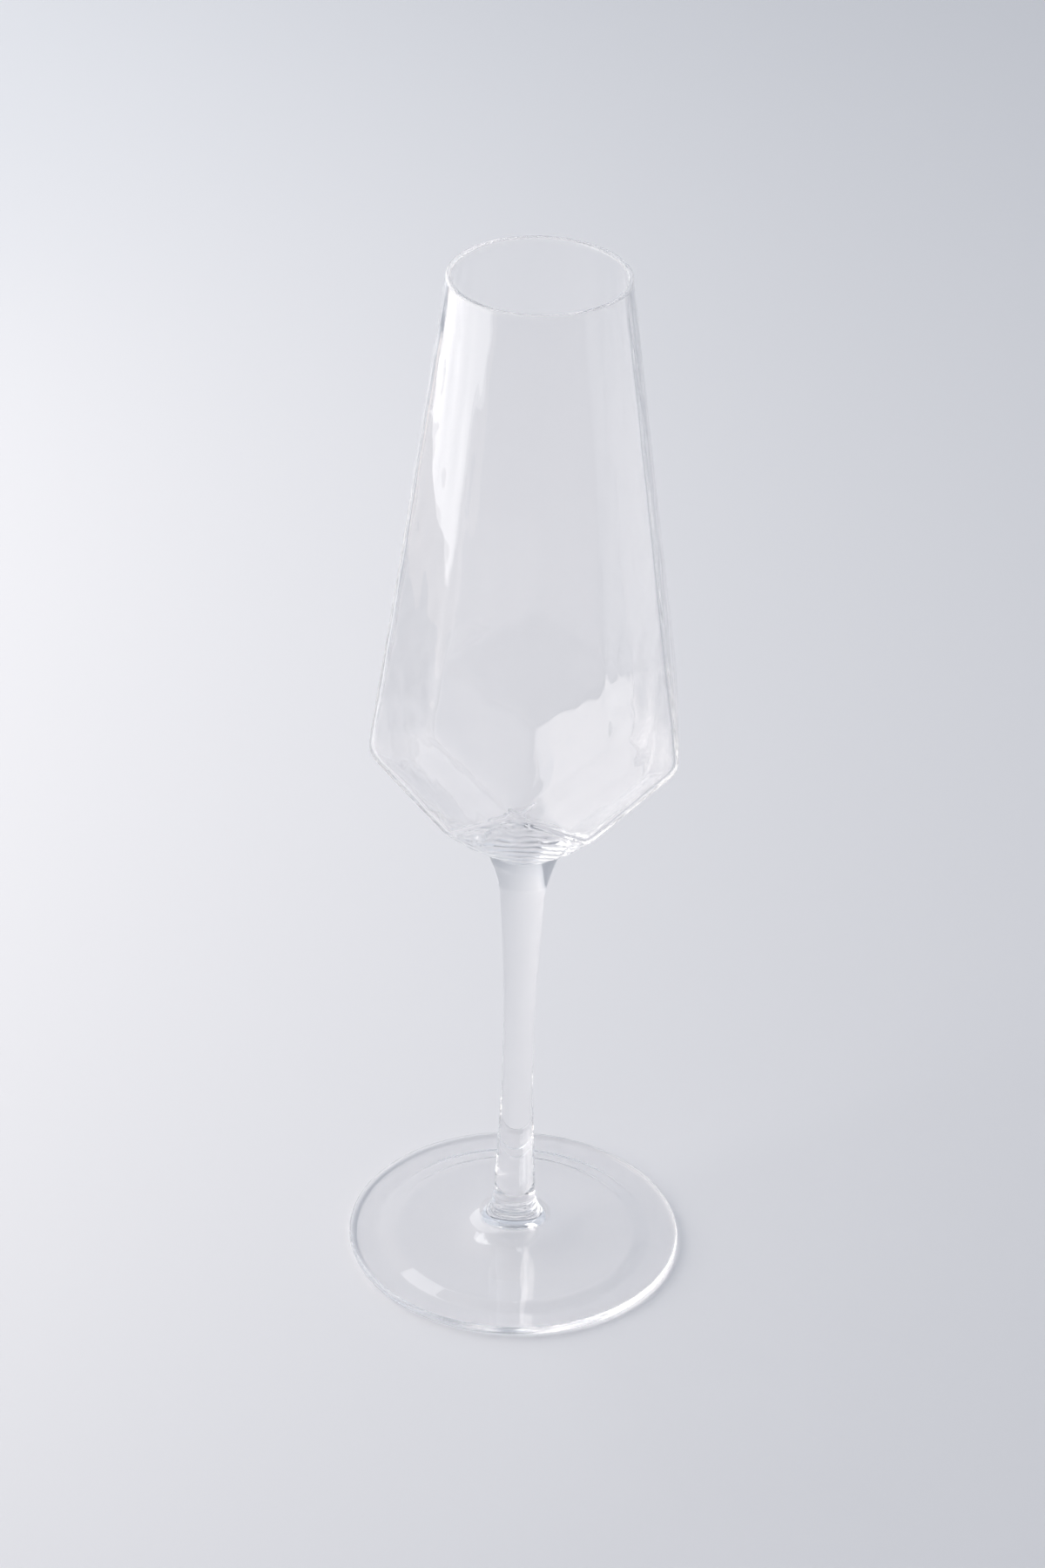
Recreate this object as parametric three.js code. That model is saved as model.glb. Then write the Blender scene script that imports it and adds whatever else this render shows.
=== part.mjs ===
// A champagne glass in clear blown glass, in its three fused pieces: a faceted bowl with a round
// mouth, a solid drawn stem and a spun foot. Millimetres, +Z up. The origin is the middle of the
// foot's resting ring, and one outside corner of the bowl points to -Y.
import * as THREE from "three";

// Foot: a thin disc, coned on top, that stands on a flat ring. Inside the ring a bevel lifts the
// underside, and a rounded hollow goes up under the stem.
const FOOT_RADIUS = 37.3;
const FOOT_EDGE = 2; // thickness of the rounded edge
const FOOT_CONE_RISE = 2.2; // climb of the top from the edge to the root of the stem
const FOOT_FLARE_RISE = 2.8; // climb of the root, up to the stem's seam
const FOOT_FLARE_WIDTH = 1.6; // how fast the root runs out into the cone
const REST_RING_WIDTH = 5.5;
const BEVEL_WIDTH = 4;
const BEVEL_RISE = 0.6;
const HOLLOW_RISE = 3.2; // of the hollow under the stem, above the bevel
const HOLLOW_WIDTH = 7; // radius at which about a third of that rise is left
const HOLLOW_REACH = 2.5; // how many widths out the hollow is drawn

// Stem: slimmest at the waist, swelling to both ends, with a short flare at each seam.
const STEM_LENGTH = 98; // between its two seams
const STEM_WAIST_RADIUS = 3.47;
const LOWER_SWELL = 1.53; // added to the radius at the foot
const LOWER_SWELL_LENGTH = 38;
const LOWER_SWELL_POWER = 1.3;
const LOWER_FLARE = 1.2;
const LOWER_FLARE_LENGTH = 5;
const LOWER_FLARE_POWER = 2;
const UPPER_SWELL = 2.5; // added to the radius under the bowl
const UPPER_SWELL_LENGTH = 46;
const UPPER_SWELL_POWER = 1.6;
const UPPER_FLARE = 2.53;
const UPPER_FLARE_LENGTH = 12;
const UPPER_FLARE_POWER = 1.35;

// Bowl: heights are above its seam with the stem. Each side carries one diamond, whose left and
// right corners are shared with its neighbours, so two zigzag edges run round the shoulder.
const BOWL_HEIGHT = 135;
const BOWL_SIDES = 5;
const CORNER_RADIUS = 34.9; // where the diamonds meet
const CORNER_HEIGHT = 27.4;
const PEAK_RADIUS = 32.5; // upper point of each diamond
const PEAK_HEIGHT = 41.3;
const TIP_RADIUS = 25.4; // lower point of each diamond
const TIP_HEIGHT = 13.5;
const LIP_RADIUS = 19; // outside of the mouth
const LIP_WALL = 1.2;
const SHOULDER_WALL = 1.2; // at the upper zigzag
const LOWER_WALL = 1.4; // at the lower zigzag
const FLOOR_RADIUS = 6; // of the round floor inside
const FLOOR_THICKNESS = 2; // solid glass between the seam and the hollow
const EDGE_SOFTENING = 1.2; // half the width of a moulded edge
const EDGE_SHARE = 0.4; // most of a panel that its two softened edges may take

// Fineness of the faceted solids.
const ROUND_STEPS = 64;
const STEM_STEPS = 22;
const FOOT_TOP_STEPS = 10;
const FOOT_EDGE_STEPS = 6;
const HOLLOW_STEPS = 10;
const COLUMNS_PER_HALF_SIDE = 8;
const OUTSIDE_STEPS = [3, 1, 2, 1, 6]; // lower panel, edge, diamond, edge, upper panel
const INSIDE_STEPS = [1, 1, 3, 1, 2, 1, 6]; // floor, edge, then as outside
const LIP_STEPS = 4;

const FOOT_HEIGHT = FOOT_EDGE + FOOT_CONE_RISE + FOOT_FLARE_RISE;
const HALF_SIDE = Math.PI / BOWL_SIDES;

const point = (radius, height) => new THREE.Vector2(radius, height);

// Full at distance 0, nothing at the end of the reach.
function fade(distance, reach, power) {
  return Math.max(0, 1 - distance / reach) ** power;
}

function stemRadius(height) {
  const below = STEM_LENGTH - height;
  return (
    STEM_WAIST_RADIUS +
    LOWER_SWELL * fade(height, LOWER_SWELL_LENGTH, LOWER_SWELL_POWER) +
    LOWER_FLARE * fade(height, LOWER_FLARE_LENGTH, LOWER_FLARE_POWER) +
    UPPER_SWELL * fade(below, UPPER_SWELL_LENGTH, UPPER_SWELL_POWER) +
    UPPER_FLARE * fade(below, UPPER_FLARE_LENGTH, UPPER_FLARE_POWER)
  );
}

// Points from start to end, in even steps, without the start.
function evenly(start, end, steps) {
  return Array.from({ length: steps }, (_, i) => start.clone().lerp(end, (i + 1) / steps));
}

// A solid of revolution about Z from a profile of radii and heights that starts and ends on the axis.
function turned(profile) {
  return new THREE.LatheGeometry(profile, ROUND_STEPS).rotateX(Math.PI / 2);
}

function footGeometry() {
  const root = stemRadius(0);
  const round = FOOT_EDGE / 2;
  const rim = FOOT_RADIUS - round;
  const ringInside = rim - REST_RING_WIDTH;
  const profile = [];
  for (let i = 0; i <= HOLLOW_STEPS; i++) {
    const out = (HOLLOW_REACH * i) / HOLLOW_STEPS; // in widths
    profile.push(point(out * HOLLOW_WIDTH, BEVEL_RISE + HOLLOW_RISE * Math.exp(-(out ** 2))));
  }
  profile.push(point(ringInside - BEVEL_WIDTH, BEVEL_RISE));
  profile.push(point(ringInside, 0));
  for (let i = 0; i <= FOOT_EDGE_STEPS; i++) {
    const turn = -Math.PI / 2 + (Math.PI * i) / FOOT_EDGE_STEPS;
    profile.push(point(rim + round * Math.cos(turn), round + round * Math.sin(turn)));
  }
  for (let i = 1; i <= FOOT_TOP_STEPS; i++) {
    const out = (1 - i / FOOT_TOP_STEPS) ** 2; // closer steps at the root
    const cone = FOOT_CONE_RISE * (1 - out);
    const flare = FOOT_FLARE_RISE * Math.exp((-out * (rim - root)) / FOOT_FLARE_WIDTH);
    profile.push(point(root + out * (rim - root), FOOT_EDGE + cone + flare));
  }
  profile.push(point(0, FOOT_HEIGHT));
  return turned(profile);
}

function stemGeometry() {
  const profile = [point(0, 0)];
  for (let i = 0; i <= STEM_STEPS; i++) {
    const height = (STEM_LENGTH * (1 - Math.cos((Math.PI * i) / STEM_STEPS))) / 2; // closer at the ends
    profile.push(point(stemRadius(height), height));
  }
  profile.push(point(0, STEM_LENGTH));
  return turned(profile);
}

// Where the straight edge from a corner to a diamond's point crosses the upright plane at an
// angle from the corner.
function crossing(corner, diamondPoint, angle) {
  const fromCorner = corner.x * Math.sin(angle);
  const fromPoint = diamondPoint.x * Math.sin(HALF_SIDE - angle);
  const share = fromCorner / (fromCorner + fromPoint);
  const out = THREE.MathUtils.lerp(
    corner.x * Math.cos(angle),
    diamondPoint.x * Math.cos(HALF_SIDE - angle),
    share,
  );
  return point(out, THREE.MathUtils.lerp(corner.y, diamondPoint.y, share));
}

// The bent line of the outside at an angle from a corner: seam, lower edge, upper edge, lip.
function outsideLine(angle) {
  const corner = point(CORNER_RADIUS, CORNER_HEIGHT);
  return [
    point(stemRadius(STEM_LENGTH), 0),
    crossing(corner, point(TIP_RADIUS, TIP_HEIGHT), angle),
    crossing(corner, point(PEAK_RADIUS, PEAK_HEIGHT), angle),
    point(LIP_RADIUS, BOWL_HEIGHT - LIP_WALL / 2),
  ];
}

// The bend of the line at a place, moved inwards so that both stretches keep the wall.
function inset(line, place, wall) {
  const before = line[place].clone().sub(line[place - 1]).normalize();
  const after = line[place + 1].clone().sub(line[place]).normalize();
  const along = before.clone().add(after).normalize();
  const mitre = wall / along.dot(before);
  return line[place].clone().add(point(-along.y * mitre, along.x * mitre));
}

// The bent line of the inside: middle of the floor, floor's edge, lower edge, upper edge, lip.
function insideLine(outside) {
  const lip = outside.at(-1);
  return [
    point(0, FLOOR_THICKNESS),
    point(FLOOR_RADIUS, FLOOR_THICKNESS),
    inset(outside, 1, LOWER_WALL),
    inset(outside, 2, SHOULDER_WALL),
    point(lip.x - LIP_WALL, lip.y),
  ];
}

// The line with each bend cut back to a soft edge, and each stretch in its steps.
function softened(line, steps) {
  const reach = line.map((bend, i) => {
    if (i === 0 || i === line.length - 1) return 0;
    const shortest = Math.min(bend.distanceTo(line[i - 1]), bend.distanceTo(line[i + 1]));
    return Math.min(EDGE_SOFTENING, EDGE_SHARE * shortest);
  });
  const towards = (from, to) => line[to].clone().sub(line[from]).setLength(reach[from]).add(line[from]);
  const ends = [line[0]];
  for (let i = 1; i < line.length - 1; i++) {
    ends.push(towards(i, i - 1), towards(i, i + 1));
  }
  ends.push(line.at(-1));
  return [line[0], ...steps.flatMap((count, i) => evenly(ends[i], ends[i + 1], count))];
}

// The round of the lip between its outside and its inside, without those two.
function lipRound(outer) {
  const half = LIP_WALL / 2;
  return Array.from({ length: LIP_STEPS - 1 }, (_, i) => {
    const turn = (Math.PI * (i + 1)) / LIP_STEPS;
    return point(outer.x - half + half * Math.cos(turn), outer.y + half * Math.sin(turn));
  });
}

// A closed solid from columns of points that all start and end on the axis.
function closedSkin(columns, angles) {
  const rings = columns[0].length - 2;
  const positions = [0, 0, columns[0][0].y, 0, 0, columns[0].at(-1).y];
  columns.forEach((column, i) => {
    for (const { x, y } of column.slice(1, -1)) {
      positions.push(x * Math.cos(angles[i]), x * Math.sin(angles[i]), y);
    }
  });
  const index = [];
  columns.forEach((_, i) => {
    const here = 2 + i * rings;
    const next = 2 + ((i + 1) % columns.length) * rings;
    index.push(0, next, here);
    for (let j = 0; j < rings - 1; j++) {
      index.push(here + j, next + j, next + j + 1, here + j, next + j + 1, here + j + 1);
    }
    index.push(1, here + rings - 1, next + rings - 1);
  });
  const geometry = new THREE.BufferGeometry();
  geometry.setAttribute("position", new THREE.Float32BufferAttribute(positions, 3));
  geometry.setIndex(index);
  geometry.computeVertexNormals();
  return geometry;
}

function bowlGeometry() {
  const count = 2 * BOWL_SIDES * COLUMNS_PER_HALF_SIDE;
  const columns = [];
  const angles = [];
  for (let i = 0; i < count; i++) {
    // Columns stand half a step to each side of a corner, which softens the upright edges too.
    const fromFront = ((i + 0.5) * HALF_SIDE) / COLUMNS_PER_HALF_SIDE;
    const alongSide = fromFront % (2 * HALF_SIDE);
    const outside = outsideLine(Math.min(alongSide, 2 * HALF_SIDE - alongSide));
    columns.push([
      point(0, 0),
      ...softened(outside, OUTSIDE_STEPS),
      ...lipRound(outside.at(-1)),
      ...softened(insideLine(outside), INSIDE_STEPS).reverse(),
    ]);
    angles.push(fromFront - Math.PI / 2);
  }
  return closedSkin(columns, angles);
}

function clearGlass(color) {
  return new THREE.MeshStandardMaterial({
    color,
    roughness: 0.02,
    metalness: 0,
    transparent: true,
    opacity: 0.35,
  });
}

function piece(name, geometry, material, height) {
  const mesh = new THREE.Mesh(geometry, material);
  mesh.name = name;
  mesh.position.z = height;
  return mesh;
}

const glass = new THREE.Group();
glass.name = "champagne_glass";
glass.add(piece("foot", footGeometry(), clearGlass(0xe9eff0), 0));
glass.add(piece("stem", stemGeometry(), clearGlass(0xeef3f4), FOOT_HEIGHT));
glass.add(piece("bowl", bowlGeometry(), clearGlass(0xf4f7f8), FOOT_HEIGHT + STEM_LENGTH));

export default glass;
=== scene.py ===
"""Studio dressing of a stemmed champagne glass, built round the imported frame.

The three fused pieces of the glass, its foot, stem and bowl, are remade as fine skins of clear glass in
the places of their CAD solids. Sizes in the classes are millimetres, as a glassmaker would give them, and
they are scaled to Blender's metres where a mesh, a light or the camera is made.
"""

from __future__ import annotations

import logging
import math
from dataclasses import dataclass
from enum import Enum
from typing import Any, Mapping, Sequence

import bpy
import numpy as np
from mathutils import Matrix, Vector


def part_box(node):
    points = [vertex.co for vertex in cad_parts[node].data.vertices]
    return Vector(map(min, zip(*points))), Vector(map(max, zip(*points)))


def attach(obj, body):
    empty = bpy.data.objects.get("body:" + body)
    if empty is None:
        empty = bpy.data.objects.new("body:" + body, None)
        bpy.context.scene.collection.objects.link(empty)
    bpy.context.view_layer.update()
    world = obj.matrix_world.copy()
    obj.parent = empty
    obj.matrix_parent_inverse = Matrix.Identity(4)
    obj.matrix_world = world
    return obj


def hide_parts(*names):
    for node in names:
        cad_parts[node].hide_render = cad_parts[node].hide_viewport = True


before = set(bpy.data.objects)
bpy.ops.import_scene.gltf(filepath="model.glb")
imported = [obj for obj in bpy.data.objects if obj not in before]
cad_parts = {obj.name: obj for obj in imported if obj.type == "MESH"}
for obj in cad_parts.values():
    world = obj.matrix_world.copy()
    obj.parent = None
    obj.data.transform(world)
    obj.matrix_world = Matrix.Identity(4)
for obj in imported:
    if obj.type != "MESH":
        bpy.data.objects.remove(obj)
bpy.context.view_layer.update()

MM = 0.001
BODY = "root"
LIGHT_BOUNCES = 256
CLEAR_BOUNCES = 64
LOG = logging.getLogger("champagne_glass")

Colour = tuple[float, float, float]
Place = tuple[float, float, float]
Swell = tuple[float, float, float]
Step = tuple[float, float]


class Value:
    """A number that varies over a surface: a shader socket that takes part in Python sums."""

    def __init__(self, graph: "Graph", socket: bpy.types.NodeSocket) -> None:
        """Keep the socket and the graph that new Math nodes go into."""
        self.graph = graph
        self.socket = socket

    def _math(self, operation: str, first: Any, second: Any) -> "Value":
        """Add a Math node.

        Args:
            operation: Blender's name of the operation.
            first: the first number or value.
            second: the second number or value.

        Returns:
            The value that comes out of the node.
        """
        node = self.graph.add("ShaderNodeMath", {"operation": operation}, {0: first, 1: second})
        return Value(self.graph, node.outputs[0])

    def __add__(self, other: Any) -> "Value":
        """Sum."""
        return self._math("ADD", self, other)

    def __radd__(self, other: Any) -> "Value":
        """Sum with a number on the left."""
        return self._math("ADD", other, self)

    def __sub__(self, other: Any) -> "Value":
        """Difference."""
        return self._math("SUBTRACT", self, other)

    def __rsub__(self, other: Any) -> "Value":
        """Difference from a number on the left."""
        return self._math("SUBTRACT", other, self)

    def __mul__(self, other: Any) -> "Value":
        """Product."""
        return self._math("MULTIPLY", self, other)

    def __rmul__(self, other: Any) -> "Value":
        """Product with a number on the left."""
        return self._math("MULTIPLY", other, self)

    def __pow__(self, other: Any) -> "Value":
        """Power."""
        return self._math("POWER", self, other)

    def at_most(self, other: Any) -> "Value":
        """The smaller of the two."""
        return self._math("MINIMUM", self, other)

    def at_least(self, other: Any) -> "Value":
        """The larger of the two."""
        return self._math("MAXIMUM", self, other)


class Graph:
    """A node tree that is filled from nothing."""

    def __init__(self, tree: bpy.types.NodeTree) -> None:
        """Empty the tree.

        Args:
            tree: the node tree of a material or of the world.
        """
        self.tree = tree
        tree.nodes.clear()

    def add(
        self,
        kind: str,
        settings: Mapping[str, Any] | None = None,
        inputs: Mapping[int | str, Any] | None = None,
    ) -> bpy.types.Node:
        """Add one node.

        Args:
            kind: Blender's type name of the node.
            settings: properties of the node, set before its sockets.
            inputs: a number, colour, socket or value for each socket, by name or place.

        Returns:
            The new node.
        """
        node = self.tree.nodes.new(kind)
        for name, setting in (settings or {}).items():
            setattr(node, name, setting)
        for key, given in (inputs or {}).items():
            socket = node.inputs[key]
            source = given.socket if isinstance(given, Value) else given
            if isinstance(source, bpy.types.NodeSocket):
                self.tree.links.new(source, socket)
            else:
                socket.default_value = source
        return node

    def value(self, node: bpy.types.Node, output: int | str = 0) -> Value:
        """Wrap an output of a node for Python sums."""
        return Value(self, node.outputs[output])

    def axes(self, vector: bpy.types.NodeSocket) -> tuple[Value, Value, Value]:
        """Take a vector apart into its three values."""
        node = self.add("ShaderNodeSeparateXYZ", inputs={0: vector})
        return self.value(node, 0), self.value(node, 1), self.value(node, 2)

    def noise(self, vector: bpy.types.NodeSocket, scale: float, detail: float) -> Value:
        """Add a noise texture, from 0 to 1.

        Args:
            vector: the place that the noise is read at.
            scale: waves to a metre.
            detail: layers of finer noise.

        Returns:
            The noise.
        """
        node = self.add("ShaderNodeTexNoise", inputs={"Vector": vector, "Scale": scale, "Detail": detail})
        return self.value(node, 0)


def new_material(name: str) -> tuple[bpy.types.Material, Graph]:
    """Start a material.

    Args:
        name: the material's name.

    Returns:
        The material and its nodes, of which there are none yet.
    """
    material = bpy.data.materials.new(name)
    material.use_nodes = True
    return material, Graph(material.node_tree)


def new_object(name: str, data: bpy.types.ID) -> bpy.types.Object:
    """Put an object in the scene.

    Args:
        name: the object's name.
        data: its mesh, lamp or lens.

    Returns:
        The object.
    """
    made = bpy.data.objects.new(name, data)
    bpy.context.scene.collection.objects.link(made)
    return made


class Grain(Enum):
    """How a piece was worked hot, which leaves its trace in the surface."""

    BLOWN = "blown into a mould"
    DRAWN = "drawn out into a rod"
    SPUN = "spun into a disc"


@dataclass(frozen=True)
class ClearGlass:
    """Fire-polished clear glass, with the fine trace of how it was worked and a breath of handling.

    Past edge_from, a height on the bowl and a distance from the axis elsewhere, the glass is blurred.
    """

    name: str
    grain: Grain
    tint: Colour = (0.996, 0.992, 0.991)
    refraction: float = 1.5
    trace_depth: float = 0.004
    trace_scale: float = 260.0
    trace_detail: float = 2.0
    trace_stretch: float = 0.06
    haze: float = 0.012
    haze_scale: float = 38.0
    haze_detail: float = 3.0
    haze_from: float = 0.5
    edge_from: float = 1000.0
    edge_width: float = 0.5
    edge_blur: float = 0.0

    def material(self) -> bpy.types.Material:
        """Make the material.

        Returns:
            A glass whose roughness and surface come from its nodes.
        """
        material, graph = new_material(self.name)
        place = graph.add("ShaderNodeTexCoord").outputs["Object"]
        across, depth, height = graph.axes(place)
        outwards = (across * across + depth * depth) ** 0.5
        reach = height if self.grain is Grain.BLOWN else outwards
        past_edge = (reach - self.edge_from * MM) * (1.0 / (self.edge_width * MM))
        blur = past_edge.at_least(0.0).at_most(1.0) * self.edge_blur
        breath = graph.noise(place, self.haze_scale, self.haze_detail) - self.haze_from
        trace = self._trace(graph, (across, depth, height), outwards)
        bump = graph.add(
            "ShaderNodeBump",
            inputs={"Strength": 1.0, "Distance": self.trace_depth * MM, "Height": trace},
        )
        shader = graph.add(
            "ShaderNodeBsdfPrincipled",
            inputs={
                "Base Color": (*self.tint, 1.0),
                "Roughness": breath.at_least(0.0) * self.haze + blur,
                "IOR": self.refraction,
                "Transmission Weight": 1.0,
                "Normal": bump.outputs[0],
            },
        )
        graph.add("ShaderNodeOutputMaterial", inputs={"Surface": shader.outputs[0]})
        return material

    def _trace(self, graph: Graph, axes: tuple[Value, Value, Value], outwards: Value) -> Value:
        """The height of the surface trace.

        Args:
            graph: the material's nodes.
            axes: the point on the piece, in metres.
            outwards: its distance from the piece's axis.

        Returns:
            A height from 0 to 1.
        """
        across, depth, height = axes
        if self.grain is Grain.BLOWN:
            parts = {0: across, 1: depth, 2: height}
        elif self.grain is Grain.DRAWN:
            parts = {0: across, 1: depth, 2: height * self.trace_stretch}
        else:
            parts = {0: outwards, 1: height}
        stretched = graph.add("ShaderNodeCombineXYZ", inputs=parts)
        return graph.noise(stretched.outputs[0], self.trace_scale, self.trace_detail)


@dataclass(frozen=True)
class FusedSeam:
    """The inside face where two pieces were fused hot: light goes straight on."""

    name: str

    def material(self) -> bpy.types.Material:
        """Make a material that shows nothing."""
        material, graph = new_material(self.name)
        clear = graph.add("ShaderNodeBsdfTransparent")
        graph.add("ShaderNodeOutputMaterial", inputs={"Surface": clear.outputs[0]})
        return material


@dataclass(frozen=True)
class PaleFloor:
    """Matt paper-white table top."""

    name: str = "pale_floor"
    colour: Colour = (0.82, 0.82, 0.83)
    roughness: float = 0.9

    def material(self) -> bpy.types.Material:
        """Make the material."""
        material, graph = new_material(self.name)
        shader = graph.add(
            "ShaderNodeBsdfPrincipled",
            inputs={
                "Base Color": (*self.colour, 1.0),
                "Roughness": self.roughness,
                "Specular IOR Level": 0.0,
            },
        )
        graph.add("ShaderNodeOutputMaterial", inputs={"Surface": shader.outputs[0]})
        return material


@dataclass(frozen=True)
class Ripple:
    """Watery unevenness of a wall: short waves at many headings, which close round the axis."""

    depth: float
    shortest: float
    longest: float
    seed: int
    heading: float = 0.0
    spread: float = math.pi / 2
    waves: int = 48

    def heights(self, angle: np.ndarray, along: np.ndarray, radius: float) -> np.ndarray:
        """Height of the ripple at each point.

        Args:
            angle: angle round the axis.
            along: height or distance along the wall.
            radius: radius at which the wave lengths hold.

        Returns:
            Heights, whose root mean square is the depth.
        """
        draw = np.random.default_rng(self.seed)
        lengths = draw.uniform(self.shortest, self.longest, self.waves)
        headings = self.heading + draw.uniform(-self.spread, self.spread, self.waves)
        phases = draw.uniform(0.0, 2.0 * math.pi, self.waves)
        total = np.zeros(np.broadcast(angle, along).shape)
        for length, heading, phase in zip(lengths, headings, phases):
            step = 2.0 * math.pi / length
            round_axis = round(radius * step * math.cos(heading))
            total += np.cos(round_axis * angle + step * math.sin(heading) * along + phase)
        return total * self.depth * math.sqrt(2.0 / self.waves)


def soft_least(values: np.ndarray, softness: float) -> tuple[np.ndarray, np.ndarray]:
    """The least of several values, rounded off where two of them are nearly equal.

    Args:
        values: values, side by side on the last axis.
        softness: difference at which the rounding fades.

    Returns:
        The soft least value, and the share of each value in it, which add up to 1.
    """
    least = values.min(axis=-1, keepdims=True)
    weight = np.exp((least - values) / softness)
    total = weight.sum(axis=-1, keepdims=True)
    return least - softness * np.log(total), weight / total


def gathered(count: int, pull: float) -> np.ndarray:
    """Shares from 0 to 1 that stand closer at both ends.

    Args:
        count: number of steps.
        pull: how much they are drawn to the ends, from 0 to 1.

    Returns:
        count + 1 shares.
    """
    even = np.linspace(0.0, 1.0, count + 1)
    return (1.0 - pull) * even + pull * (1.0 - np.cos(math.pi * even)) / 2.0


@dataclass
class ClosedSkin:
    """A closed mesh of rings round the axis, which starts and ends in a point on it."""

    name: str
    angles: np.ndarray
    radii: np.ndarray
    heights: np.ndarray
    seam_at_start: bool = False
    seam_at_end: bool = False

    def make(self, glass: ClearGlass) -> bpy.types.Object:
        """Make the mesh object with its glass and its fused seams.

        Args:
            glass: the finish of the skin.

        Returns:
            The object, in the scene.
        """
        rows, columns = self.radii.shape
        points = np.empty((rows * columns + 2, 3))
        points[0] = (0.0, 0.0, self.heights[0].mean())
        points[-1] = (0.0, 0.0, self.heights[-1].mean())
        points[1:-1, 0] = (self.radii * np.cos(self.angles)).ravel()
        points[1:-1, 1] = (self.radii * np.sin(self.angles)).ravel()
        points[1:-1, 2] = self.heights.ravel()
        ring = 1 + np.arange(rows * columns).reshape(rows, columns)
        following = np.roll(ring, -1, axis=1)
        quads = np.stack([ring[:-1], following[:-1], following[1:], ring[1:]], axis=-1).reshape(-1, 4)
        first = np.stack([np.zeros(columns, int), following[0], ring[0]], axis=-1)
        last = np.stack([np.full(columns, len(points) - 1), ring[-1], following[-1]], axis=-1)
        faces = [*first.tolist(), *quads.tolist(), *last.tolist()]
        mesh = bpy.data.meshes.new(self.name)
        mesh.from_pydata((points * MM).tolist(), [], faces)
        mesh.materials.append(glass.material())
        mesh.materials.append(FusedSeam(f"{self.name}_seam").material())
        fused = np.zeros(len(faces), bool)
        fused[:columns] = self.seam_at_start
        fused[len(faces) - columns:] = self.seam_at_end
        mesh.polygons.foreach_set("material_index", fused.astype(np.int32))
        mesh.polygons.foreach_set("use_smooth", ~fused)
        mesh.update()
        return new_object(self.name, mesh)


def seat(piece: bpy.types.Object, node: str) -> bpy.types.Object:
    """Let a piece stand for its CAD node.

    Args:
        piece: the finished piece.
        node: the CAD node, which is hidden.

    Returns:
        The piece.
    """
    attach(piece, BODY)
    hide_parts(node)
    return piece


@dataclass
class Stem:
    """Solid drawn stem, slimmest at the waist, with a swell and a short flare at each end.

    A swell or a flare is how far it stands out at the seam, how far along the stem it reaches, and the
    power that it fades by.
    """

    waist: float = 3.47
    lower_swell: Swell = (1.53, 38.0, 1.3)
    lower_flare: Swell = (1.2, 5.0, 2.0)
    upper_swell: Swell = (2.5, 46.0, 1.6)
    upper_flare: Swell = (2.53, 12.0, 1.35)
    rows: int = 200
    columns: int = 128
    pull: float = 0.7
    calm_ends: float = 8.0
    ripple: Ripple = Ripple(depth=0.006, shortest=9.0, longest=30.0, seed=31)
    glass: ClearGlass = ClearGlass("stem_glass", Grain.DRAWN)

    def __post_init__(self) -> None:
        """Take the two seams from the frame."""
        low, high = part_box("stem")
        self.bottom = low.z / MM
        self.length = (high.z - low.z) / MM

    def radius(self, height: np.ndarray) -> np.ndarray:
        """Radius at a height.

        Args:
            height: heights above the lower seam.

        Returns:
            The radii.
        """
        from_top = self.length - height
        radius = np.full(np.shape(height), self.waist)
        for distance, (rise, reach, power) in (
            (height, self.lower_swell),
            (height, self.lower_flare),
            (from_top, self.upper_swell),
            (from_top, self.upper_flare),
        ):
            radius = radius + rise * np.maximum(0.0, 1.0 - distance / reach) ** power
        return radius

    def build(self) -> bpy.types.Object:
        """Make the stem in the place of its CAD node."""
        height = (self.length * gathered(self.rows, self.pull))[:, None]
        angles = np.linspace(0.0, 2.0 * math.pi, self.columns, endpoint=False)[None, :]
        from_seams = np.minimum(height, self.length - height)
        share = np.minimum(1.0, from_seams / self.calm_ends)
        radii = self.radius(height) + share * self.ripple.heights(angles, height, self.waist)
        heights = np.broadcast_to(self.bottom + height, radii.shape)
        skin = ClosedSkin("stem_glass", angles, radii, heights, seam_at_start=True, seam_at_end=True)
        return seat(skin.make(self.glass), "stem")


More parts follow.
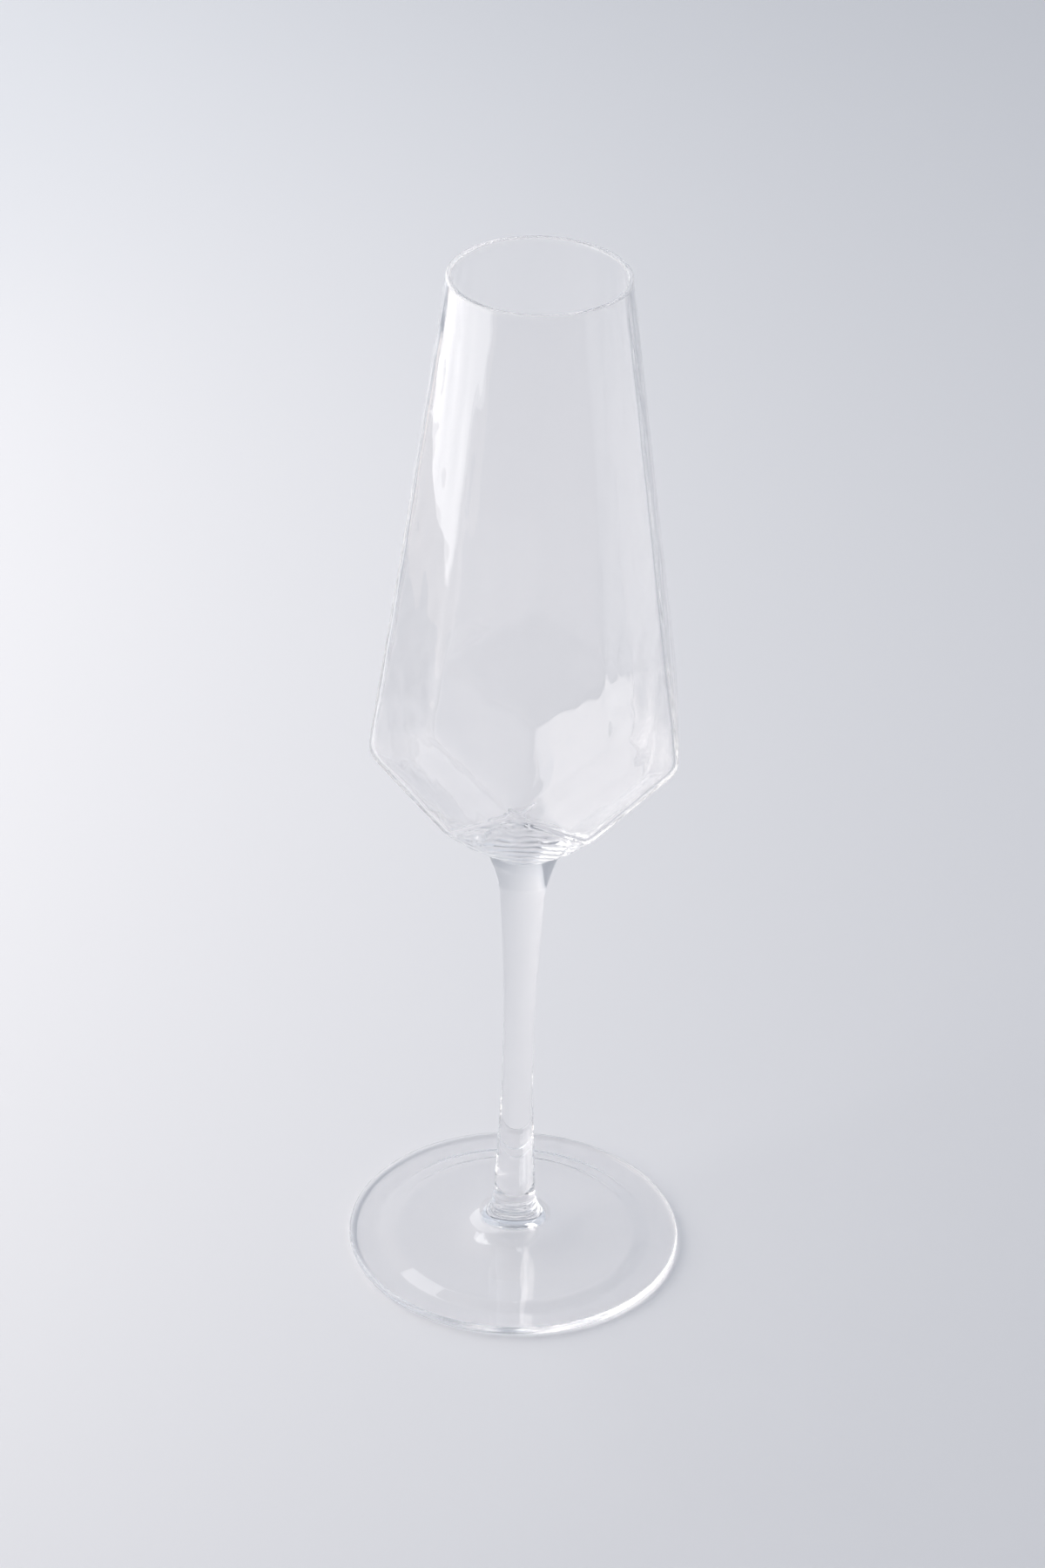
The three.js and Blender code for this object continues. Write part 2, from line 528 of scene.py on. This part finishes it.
@dataclass
class Foot:
    """Spun foot: a thin disc, coned on top and hollowed underneath, on a flat resting ring.

    Inside the ring the underside is lifted by a bevel, given as the width and rise of its steps. At the
    back the bevel has a fine lip at either side. The calm values say how the ripple of the top fades
    towards the stem and the edge.
    """

    root: float
    edge: float = 2.0
    cone_rise: float = 2.2
    flare_rise: float = 2.8
    flare_width: float = 1.6
    ring_width: float = 5.5
    bevel: tuple[Step, ...] = ((4.0, 0.53),)
    lipped_bevel: tuple[Step, ...] = ((0.8, 0.2), (2.4, 0.15), (0.8, 0.18))
    bevel_softness: float = 0.1
    lips_from: float = 0.4
    lips_full: float = 0.8
    kick_rise: float = 3.2
    kick_width: float = 7.0
    bend_margin: float = 1.0
    calm_root: float = 2.0
    calm_edge: float = 3.0
    calm_fade: float = 4.0
    under_rows: tuple[int, ...] = (14, 12, 3, 12, 3)
    edge_rows: int = 22
    top_rows: int = 36
    columns: int = 900
    ripple: Ripple = Ripple(depth=0.012, shortest=5.0, longest=14.0, seed=17)
    glass: ClearGlass = ClearGlass("foot_glass", Grain.SPUN, edge_from=35.6, edge_width=0.6, edge_blur=0.2)

    def __post_init__(self) -> None:
        """Take the radius from the frame."""
        self.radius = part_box("foot")[1].x / MM
        self.rim = self.radius - self.edge / 2.0
        self.ring_inside = self.rim - self.ring_width

    def profile(self) -> np.ndarray:
        """Radii and heights from the middle of the underside, round the edge, to the stem's seam."""
        bends = (self.ring_inside - sum(width for width, _ in self.bevel), self.ring_inside)
        near_bends = [bend + side * self.bend_margin for bend in bends for side in (-1.0, 1.0)]
        stops = (0.0, *near_bends, self.rim)
        stretches = zip(stops, stops[1:], self.under_rows)
        rows = [np.linspace(start, end, count + 1)[1:] for start, end, count in stretches]
        out = np.concatenate(rows)[:-1]
        kick = self.kick_rise * np.exp(-((out / self.kick_width) ** 2))
        under = np.stack([out, kick + self.lift(self.bevel, out)], axis=-1)
        turn = np.linspace(-math.pi / 2.0, math.pi / 2.0, self.edge_rows + 1)
        half = self.edge / 2.0
        edge = np.stack([self.rim + half * np.cos(turn), half + half * np.sin(turn)], axis=-1)
        inwards = (1.0 - np.linspace(0.0, 1.0, self.top_rows + 1)[1:]) ** 2
        flare = self.flare_rise * np.exp(-inwards * (self.rim - self.root) / self.flare_width)
        top_height = self.edge + self.cone_rise * (1.0 - inwards) + flare
        top = np.stack([self.root + inwards * (self.rim - self.root), top_height], axis=-1)
        return np.concatenate([under, edge, top])

    def lift(self, bevel: Sequence[Step], out: np.ndarray) -> np.ndarray:
        """How far the underside is lifted from the table by the bevel inside the resting ring.

        Args:
            bevel: width and rise of each of its steps, from the ring inwards.
            out: distances from the axis.

        Returns:
            Heights.
        """
        height = np.zeros_like(out)
        start = self.ring_inside
        for width, rise in bevel:
            height += (self.eased(start - out) - self.eased(start - width - out)) * rise / width
            start -= width
        return height

    def eased(self, inwards: np.ndarray) -> np.ndarray:
        """Distance inwards from a bend, 0 outside it, with the bend rounded off."""
        return self.bevel_softness * np.logaddexp(0.0, inwards / self.bevel_softness)

    def build(self) -> bpy.types.Object:
        """Make the foot in the place of its CAD node."""
        profile = self.profile()
        angles = np.linspace(0.0, 2.0 * math.pi, self.columns, endpoint=False)[None, :]
        radius = profile[:, :1]
        height = profile[:, 1:]
        on_top = (np.arange(len(profile)) >= len(profile) - self.top_rows)[:, None]
        from_ends = np.minimum(radius - self.root - self.calm_root, self.radius - self.calm_edge - radius)
        away = np.clip(from_ends / self.calm_fade, 0.0, 1.0)
        wave = self.ripple.heights(angles, radius, self.radius / 2.0)
        at_back = np.clip((np.sin(angles) - self.lips_from) / (self.lips_full - self.lips_from), 0.0, 1.0)
        below = (np.arange(len(profile)) < sum(self.under_rows) - 1)[:, None]
        lips = self.lift(self.lipped_bevel, radius) - self.lift(self.bevel, radius)
        heights = height + on_top * away * wave + below * at_back * lips
        radii = np.broadcast_to(radius, heights.shape)
        skin = ClosedSkin("foot_glass", angles, radii, heights, seam_at_end=True)
        return seat(skin.make(self.glass), "foot")


@dataclass
class Bowl:
    """Mould-blown bowl: five diamonds round the shoulder, panels above and below, a round polished lip.

    Heights are above the seam with the stem. Corners of neighbouring diamonds meet, so two zigzag edges
    run round the shoulder. A bent line in the upright plane at each angle gives the outside, and the
    same line moved inwards gives the inside. The calm values say how the unevenness of the wall fades
    towards the seam, the lip and the floor, and how the ripples fade upwards.
    """

    seam_radius: float
    sides: int = 5
    corner: tuple[float, float] = (34.9, 27.4)
    peak: tuple[float, float] = (32.5, 41.3)
    tip: tuple[float, float] = (25.4, 13.5)
    lip_radius: float = 19.0
    lip_wall: float = 1.2
    shoulder_wall: float = 1.2
    lower_wall: float = 1.4
    floor_thickness: float = 2.0
    floor_radius: float = 7.5
    belly: float = 0.45
    upright_ease: float = math.radians(2.0)
    outside_bends: tuple[float, ...] = (0.15, 0.3)
    inside_bends: tuple[float, ...] = (0.6, 0.3, 0.3)
    columns_per_half_side: int = 40
    outside_rows: tuple[int, ...] = (30, 30, 64)
    inside_rows: tuple[int, ...] = (12, 24, 24, 52)
    lip_rows: int = 10
    pull: float = 0.8
    side_pull: float = 0.5
    settling: int = 8
    girth: float = 0.85
    calm_seam: float = 4.0
    calm_lip: float = 1.5
    calm_fade: float = 4.0
    calm_floor: float = 0.5
    calm_upwards: float = 0.5
    outside_ripple: Ripple = Ripple(depth=0.01, shortest=4.0, longest=9.0, seed=5)
    inside_ripple: Ripple = Ripple(depth=0.024, shortest=5.0, longest=11.0, seed=8)
    streaks: Ripple = Ripple(depth=0.012, shortest=3.0, longest=7.0, seed=12, spread=0.06)
    rings: Ripple = Ripple(depth=0.005, shortest=1.2, longest=2.4, seed=21, heading=math.pi / 2, spread=0.1)
    glass: ClearGlass = ClearGlass("bowl_glass", Grain.BLOWN, edge_from=238.9, edge_blur=0.12)

    def __post_init__(self) -> None:
        """Take the seam and the height from the frame."""
        low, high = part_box("bowl")
        self.bottom = low.z / MM
        self.height = (high.z - low.z) / MM
        self.half_side = math.pi / self.sides

    def column_angles(self) -> np.ndarray:
        """Angles round the axis from the corner at the front, closer together at the upright edges."""
        share = gathered(self.columns_per_half_side, self.side_pull)[:-1]
        starts = np.arange(2 * self.sides) * self.half_side
        return (starts[:, None] + share[None, :] * self.half_side).ravel()

    def from_corner(self, angle: np.ndarray) -> np.ndarray:
        """Angle from the nearest corner, eased at corner and peak so that the upright edges are round.

        Args:
            angle: angles from the front corner.

        Returns:
            Angles from 0 to half a side.
        """
        along = np.mod(angle, 2.0 * self.half_side)
        near = np.minimum(along, 2.0 * self.half_side - along)
        far = self.half_side - near
        ease = self.upright_ease
        return near + (np.hypot(near, ease) - near) - (np.hypot(far, ease) - far)

    def crossing(self, end: tuple[float, float], angle: np.ndarray) -> np.ndarray:
        """Where the straight edge from a corner to a diamond's point crosses the plane at an angle.

        Args:
            end: radius and height of the diamond's point.
            angle: angles from the corner.

        Returns:
            Radii and heights.
        """
        from_corner = self.corner[0] * np.sin(angle)
        from_end = end[0] * np.sin(self.half_side - angle)
        share = from_corner / (from_corner + from_end)
        radius = (1.0 - share) * self.corner[0] * np.cos(angle)
        radius += share * end[0] * np.cos(self.half_side - angle)
        height = (1.0 - share) * self.corner[1] + share * end[1]
        return np.stack([radius, height], axis=-1)

    def outside_line(self, angle: np.ndarray) -> np.ndarray:
        """The bent line of the outside at each angle: seam, lower edge, upper edge, lip."""
        level = np.zeros_like(angle)
        seam = np.stack([level + self.seam_radius, level], axis=-1)
        lip = np.stack([level + self.lip_radius, level + self.height - self.lip_wall / 2.0], axis=-1)
        lower = self.crossing(self.tip, angle)
        upper = self.crossing(self.peak, angle)
        return np.stack([seam, lower, upper, lip], axis=1)

    def inset(self, line: np.ndarray, place: int, wall: float) -> np.ndarray:
        """A bend of the line, moved inwards so that both its stretches keep the wall.

        Args:
            line: bent lines, one for each column.
            place: which bend.
            wall: thickness.

        Returns:
            Radii and heights of the moved bend.
        """
        before = line[:, place] - line[:, place - 1]
        after = line[:, place + 1] - line[:, place]
        before = before / np.linalg.norm(before, axis=-1, keepdims=True)
        after = after / np.linalg.norm(after, axis=-1, keepdims=True)
        middle = before + after
        middle = middle / np.linalg.norm(middle, axis=-1, keepdims=True)
        mitre = wall / np.sum(middle * before, axis=-1, keepdims=True)
        return line[:, place] + mitre * np.stack([-middle[:, 1], middle[:, 0]], axis=-1)

    def inside_line(self, outside: np.ndarray) -> np.ndarray:
        """The bent line of the inside: middle of the floor, floor's edge, lower edge, upper edge, lip."""
        level = np.zeros(len(outside))
        middle = np.stack([level, level + self.floor_thickness], axis=-1)
        floor = middle + np.array([self.floor_radius, 0.0])
        lip = outside[:, -1] - np.array([self.lip_wall, 0.0])
        lower = self.inset(outside, 1, self.lower_wall)
        upper = self.inset(outside, 2, self.shoulder_wall)
        return np.stack([middle, floor, lower, upper, lip], axis=1)

    @staticmethod
    def ways(line: np.ndarray) -> np.ndarray:
        """Unit vectors along the stretches of bent lines."""
        stretch = line[:, 1:] - line[:, :-1]
        return stretch / np.linalg.norm(stretch, axis=-1, keepdims=True)

    def rounded(
        self, line: np.ndarray, ways: np.ndarray, rows: Sequence[int], bends: Sequence[float]
    ) -> tuple[np.ndarray, np.ndarray]:
        """Points along a bent line, drawn in at the bends by a soft least distance to its stretches.

        Args:
            line: bent lines, one for each column, with the hollow on their left.
            ways: unit vectors along the stretches.
            rows: steps in each stretch.
            bends: softness of each bend.

        Returns:
            Points by row and column, and the unit normals that point away from the hollow.
        """
        inwards = np.stack([-ways[..., 1], ways[..., 0]], axis=-1)
        points = [line[None, :, 0]]
        for place, count in enumerate(rows):
            share = gathered(count, self.pull)[1:, None, None]
            points.append((1.0 - share) * line[None, :, place] + share * line[None, :, place + 1])
        point = np.concatenate(points)
        for _ in range(self.settling):
            distance = np.sum((point[:, :, None] - line[None, :, :-1]) * inwards[None], axis=-1)
            soft = distance[..., -1:]
            slope = inwards[None, :, -1]
            for place in reversed(range(len(bends))):
                pair = np.concatenate([distance[..., place:place + 1], soft], axis=-1)
                soft, share = soft_least(pair, bends[place])
                slope = share[..., :1] * inwards[None, :, place] + share[..., 1:] * slope
            point = point - soft * slope / np.sum(slope * slope, axis=-1, keepdims=True)
        normal = -slope / np.linalg.norm(slope, axis=-1, keepdims=True)
        return point, normal

    def unevenness(self, point: np.ndarray, angle: np.ndarray, ripple: Ripple) -> np.ndarray:
        """How far a wall stands proud: ripples on the panels, streaks towards the lip, rings at the floor.

        Args:
            point: radii and heights by row and column.
            angle: angles of the columns.
            ripple: the ripples of this wall.

        Returns:
            Distances along the normal.
        """
        height = point[..., 1]
        up = np.clip((height - self.peak[1]) / (self.height - self.peak[1]), 0.0, 1.0)
        off_seam = np.clip((point[..., 0] - self.seam_radius) / self.calm_seam, 0.0, 1.0)
        off_lip = np.clip((self.height - self.calm_lip - height) / self.calm_fade, 0.0, 1.0)
        off_floor = np.clip(height / self.tip[1] - self.calm_floor, 0.0, 1.0)
        waves = ripple.heights(angle[None, :], height, self.corner[0] * self.girth)
        watery = off_floor * (1.0 - up) ** self.calm_upwards * waves
        drawn = up * self.streaks.heights(angle[None, :], height, self.lip_radius)
        low = np.clip(1.0 - height / self.tip[1], 0.0, 1.0)
        turned = low * self.rings.heights(angle[None, :], height, self.tip[0])
        return off_seam * off_lip * (watery + drawn + turned)

    def bulge(self, rows: Sequence[int]) -> np.ndarray:
        """How far each row of a wall is blown out by the belly of the lower panels.

        Args:
            rows: steps in each stretch, of which the third from the end is the lower panel.

        Returns:
            Distances along the normal.
        """
        share = gathered(rows[-3], self.pull)
        before = np.zeros(sum(rows[:-3]))
        after = np.zeros(sum(rows[-2:]))
        return self.belly * np.concatenate([before, 4.0 * share * (1.0 - share), after])[:, None]

    def build(self) -> bpy.types.Object:
        """Make the bowl in the place of its CAD node."""
        angle = self.column_angles()
        line = self.outside_line(self.from_corner(angle))
        ways = self.ways(line)
        outside, outwards = self.rounded(line, ways, self.outside_rows, self.outside_bends)
        inner_line = self.inside_line(line)
        inner_ways = self.ways(inner_line)
        inner_ways[:, 2] = ways[:, 1]
        inside, into_wall = self.rounded(inner_line, inner_ways, self.inside_rows, self.inside_bends)
        proud = self.unevenness(outside, angle, self.outside_ripple) + self.bulge(self.outside_rows)
        outside = outside + proud[..., None] * outwards
        proud = self.unevenness(inside, angle, self.inside_ripple) + self.bulge(self.inside_rows)
        inside = inside + proud[..., None] * into_wall
        half = self.lip_wall / 2.0
        turn = np.linspace(0.0, math.pi, self.lip_rows + 1)[1:-1, None, None]
        middle = (outside[-1] + inside[-1])[None] / 2.0
        lip = middle + half * np.concatenate([np.cos(turn), np.sin(turn)], axis=-1)
        wall = np.concatenate([outside, lip, inside[:0:-1]])
        skin = ClosedSkin(
            "bowl_glass", (angle - math.pi / 2.0)[None, :], wall[..., 0], self.bottom + wall[..., 1],
            seam_at_start=True,
        )
        return seat(skin.make(self.glass), "bowl")


@dataclass(frozen=True)
class Softbox:
    """A flat soft lamp that the camera doesn't see.

    Glossy surfaces show it only if it is mirrored, and it lights matt ones only if it lights the floor.
    """

    name: str
    middle: Place
    towards: Place
    width: float
    height: float
    radiance: float
    tint: Colour = (1.0, 1.0, 1.0)
    mirrored: bool = True
    lights_floor: bool = True

    def build(self) -> bpy.types.Object:
        """Hang the lamp.

        Returns:
            The lamp object.
        """
        lamp = bpy.data.lights.new(self.name, "AREA")
        lamp.shape = "RECTANGLE"
        lamp.size = self.width * MM
        lamp.size_y = self.height * MM
        lamp.energy = math.pi * self.radiance * lamp.size * lamp.size_y
        lamp.color = self.tint
        return self.hang(lamp)

    def hang(self, data: bpy.types.ID) -> bpy.types.Object:
        """Put the lamp in its place and set what sees it.

        Args:
            data: the lamp or the mesh that shines along its own -Z.

        Returns:
            The object, in the scene.
        """
        made = new_object(self.name, data)
        aim = Vector(self.towards) - Vector(self.middle)
        turned = aim.to_track_quat("-Z", "Y").to_matrix().to_4x4()
        made.matrix_world = Matrix.Translation(Vector(self.middle) * MM) @ turned
        made.visible_camera = False
        made.visible_glossy = self.mirrored
        made.visible_diffuse = self.lights_floor
        return made


@dataclass(frozen=True)
class LightPanel(Softbox):
    """A glowing panel: a soft lamp that the camera doesn't see straight through the glass either."""

    def material(self) -> bpy.types.Material:
        """Make the glow of the front, which lets all light from behind pass.

        Returns:
            A material that is dark to rays from the camera that were only ever let through.
        """
        material, graph = new_material(self.name)
        material.cycles.emission_sampling = "FRONT"
        path = graph.add("ShaderNodeLightPath")
        through = graph.value(path, "Is Transmission Ray")
        turns = graph.value(path, "Glossy Depth") + graph.value(path, "Diffuse Depth")
        shown = 1.0 - through * (1.0 - turns.at_most(1.0))
        front = 1.0 - graph.value(graph.add("ShaderNodeNewGeometry"), "Backfacing")
        glow = graph.add(
            "ShaderNodeEmission",
            inputs={"Color": (*self.tint, 1.0), "Strength": self.radiance * front * shown},
        )
        clear = graph.add("ShaderNodeBsdfTransparent")
        both = graph.add("ShaderNodeAddShader", inputs={0: glow.outputs[0], 1: clear.outputs[0]})
        graph.add("ShaderNodeOutputMaterial", inputs={"Surface": both.outputs[0]})
        return material

    def build(self) -> bpy.types.Object:
        """Hang the panel.

        Returns:
            The panel, which casts no shadow.
        """
        right = self.width * MM / 2.0
        top = self.height * MM / 2.0
        corners = [(-right, -top, 0.0), (-right, top, 0.0), (right, top, 0.0), (right, -top, 0.0)]
        mesh = bpy.data.meshes.new(self.name)
        mesh.from_pydata(corners, [], [[0, 1, 2, 3]])
        mesh.materials.append(self.material())
        made = self.hang(mesh)
        made.visible_shadow = False
        return made


@dataclass
class Studio:
    """The pale table top, the soft lamps and the dim room that the glass mirrors."""

    floor_radius: float = 9000.0
    wall_height: float = 2200.0
    floor_gap: float = 0.2
    floor_sides: int = 96
    floor: PaleFloor = PaleFloor()
    room: Colour = (0.92, 0.98, 1.1)
    horizon: float = 0.04
    ceiling: float = 0.385
    back_wall: float = 0.25
    right_wall: float = 0.33
    skirting: float = 0.3
    lamps: Sequence[Softbox] = (
        LightPanel(
            "left_softbox", middle=(-400.0, 300.0, 345.0), towards=(0.0, 300.0, 345.0),
            width=1200.0, height=570.0, radiance=1.52, tint=(1.01, 1.0, 0.99),
        ),
        Softbox(
            "right_card", middle=(450.0, 50.0, 70.0), towards=(0.0, 50.0, 70.0),
            width=620.0, height=140.0, radiance=0.38, lights_floor=False,
        ),
        LightPanel(
            "left_fill", middle=(-310.0, 80.0, 260.0), towards=(0.0, 80.0, 260.0),
            width=760.0, height=400.0, radiance=0.62, tint=(1.16, 1.0, 0.88), mirrored=False,
        ),
        Softbox(
            "back_softbox", middle=(-404.0, 863.0, 1157.0), towards=(0.0, 0.0, 0.0),
            width=320.0, height=205.0, radiance=2.4,
        ),
    )

    def build_floor(self) -> bpy.types.Object:
        """Lay the table top, a hair under the resting ring, with a wall of the same paper far behind."""
        turn = np.linspace(0.0, 2.0 * math.pi, self.floor_sides, endpoint=False)
        ring = np.stack([np.cos(turn), np.sin(turn), np.zeros_like(turn)], axis=-1) * self.floor_radius
        ring[:, 2] = -self.floor_gap
        mesh = bpy.data.meshes.new("table_top")
        top = ring + np.array([0.0, 0.0, self.wall_height])
        corner = np.arange(self.floor_sides)
        following = np.roll(corner, -1)
        wall = np.stack([following, corner, corner + len(corner), following + len(corner)], axis=-1)
        points = np.concatenate([ring, top]) * MM
        mesh.from_pydata(points.tolist(), [], [corner.tolist(), *wall.tolist()])
        mesh.materials.append(self.floor.material())
        floor = new_object("table_top", mesh)
        return floor

    def build_room(self) -> bpy.types.World:
        """Fill the world with a dim room that is darkest in front and at the left."""
        world = bpy.data.worlds.new("studio_room")
        world.use_nodes = True
        graph = Graph(world.node_tree)
        toward = graph.add("ShaderNodeTexCoord").outputs["Generated"]
        right, back, up = graph.axes(toward)
        rise = (up * (1.0 / self.skirting)).at_least(0.0).at_most(1.0) ** 2.0
        above = rise * (self.ceiling + self.back_wall * back)
        level = self.horizon + above + self.right_wall * right.at_least(0.0)
        room = graph.add("ShaderNodeBackground", inputs={"Color": (*self.room, 1.0), "Strength": level})
        graph.add("ShaderNodeOutputWorld", inputs={"Surface": room.outputs[0]})
        bpy.context.scene.world = world
        return world

    def build(self) -> None:
        """Set the whole studio up."""
        self.build_floor()
        self.build_room()
        for lamp in self.lamps:
            lamp.build()
            LOG.info("lamp %s", lamp.name)


@dataclass(frozen=True)
class TableCamera:
    """The camera, standing in front of the table and looking down at the glass."""

    distance: float = 844.8
    height: float = 639.1
    round_axis: float = math.radians(3.538)
    aim_left: float = math.radians(0.045)
    look_down: float = math.radians(31.562)
    roll: float = math.radians(1.568)
    focal_length: float = 106.38
    film: float = 36.0
    farthest: float = 100000.0

    def build(self) -> bpy.types.Object:
        """Set the camera up.

        Returns:
            The scene's camera.
        """
        lens = bpy.data.cameras.new("table_camera")
        lens.lens = self.focal_length
        lens.sensor_width = self.film
        lens.clip_end = self.farthest * MM
        made = new_object("table_camera", lens)
        swing = Matrix.Rotation(self.round_axis, 4, "Z")
        stand = Matrix.Translation(Vector((0.0, -self.distance, self.height)) * MM)
        aim = (
            Matrix.Rotation(self.aim_left, 4, "Z")
            @ Matrix.Rotation(math.pi / 2.0 - self.look_down, 4, "X")
            @ Matrix.Rotation(self.roll, 4, "Z")
        )
        made.matrix_world = swing @ stand @ aim
        bpy.context.scene.camera = made
        return made


def set_light_paths() -> None:
    """Let light pass the many walls of the glass, and keep the plain view transform."""
    scene = bpy.context.scene
    scene.view_settings.view_transform = "Standard"
    scene.cycles.max_bounces = LIGHT_BOUNCES
    scene.cycles.glossy_bounces = LIGHT_BOUNCES
    scene.cycles.transmission_bounces = LIGHT_BOUNCES
    scene.cycles.transparent_max_bounces = CLEAR_BOUNCES
    scene.cycles.blur_glossy = 0.0


def main() -> None:
    """Build the glass, the studio and the camera, and report each piece."""
    logging.basicConfig(level=logging.INFO, format="%(name)s: %(message)s")
    TableCamera().build()
    stem = Stem()
    foot = Foot(root=float(stem.radius(np.array(0.0))))
    bowl = Bowl(seam_radius=float(stem.radius(np.array(stem.length))))
    for part in (foot, stem, bowl):
        made = part.build()
        mesh = made.data
        LOG.info("piece %s: %d points, %d faces", made.name, len(mesh.vertices), len(mesh.polygons))
    Studio().build()
    set_light_paths()


if __name__ == "__main__":
    main()
